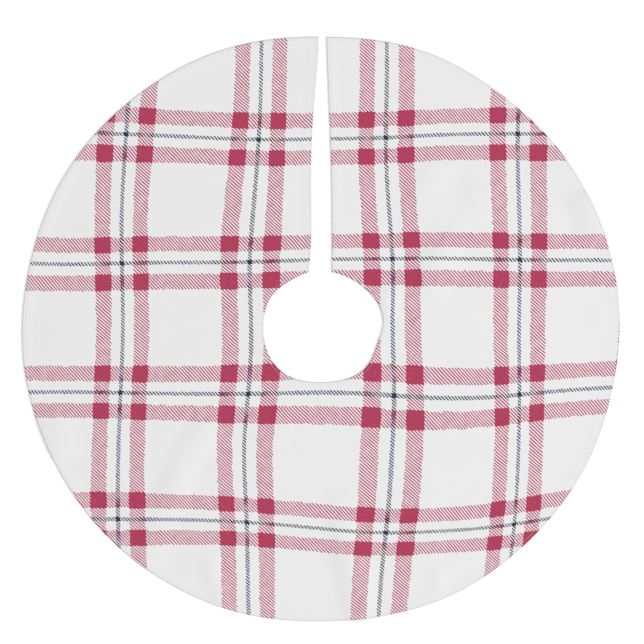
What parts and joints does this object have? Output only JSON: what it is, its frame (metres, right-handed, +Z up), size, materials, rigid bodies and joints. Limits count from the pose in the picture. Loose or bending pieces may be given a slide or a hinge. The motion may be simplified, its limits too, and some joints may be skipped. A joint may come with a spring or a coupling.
{
  "type": "tree skirt",
  "caption": "Round printed cloth tree skirt laid flat, with a trunk hole in the middle, an opening slit from the hole to the rim and narrow stitched hems on every edge.",
  "frame": {"origin": "centre of the object's box at floor level, which is within 4 mm of the centre of the trunk hole", "axes": "+Z up, printed face up; +Y from the trunk hole out along the opening slit; +X to the right of the slit seen from above"},
  "size_m": [1.1159, 1.0917, 0.008],
  "materials": {
    "printed_cloth": "matte brushed polyester, printed plaid in red and navy hatching on white",
    "turned_hem": "matte, unprinted back of the same cloth",
    "sewing_thread": "matte white polyester thread"
  },
  "bodies": {
    "front": {"front_panel": "printed_cloth", "front_rim_hem": "turned_hem", "front_neck_hem": "turned_hem", "front_rim_stitch": "sewing_thread", "front_neck_stitch": "sewing_thread"},
    "left_quarter": {"left_panel": "printed_cloth", "left_rim_hem": "turned_hem", "left_neck_hem": "turned_hem", "left_rim_stitch": "sewing_thread", "left_neck_stitch": "sewing_thread", "left_slit_hem": "turned_hem", "left_slit_stitch": "sewing_thread"},
    "right_quarter": {"right_panel": "printed_cloth", "right_rim_hem": "turned_hem", "right_neck_hem": "turned_hem", "right_rim_stitch": "sewing_thread", "right_neck_stitch": "sewing_thread", "right_slit_hem": "turned_hem", "right_slit_stitch": "sewing_thread"}
  },
  "joints": [
    {"name": "left_fold", "type": "hinge", "parent": "front", "child": "left_quarter", "pos_m": [-0.333, 0, 0.008], "axis": [1, 0, 0], "range_deg": [0, 180]},
    {"name": "right_fold", "type": "hinge", "parent": "front", "child": "right_quarter", "pos_m": [0.333, 0, 0.008], "axis": [1, 0, 0], "range_deg": [0, 180]}
  ]
}
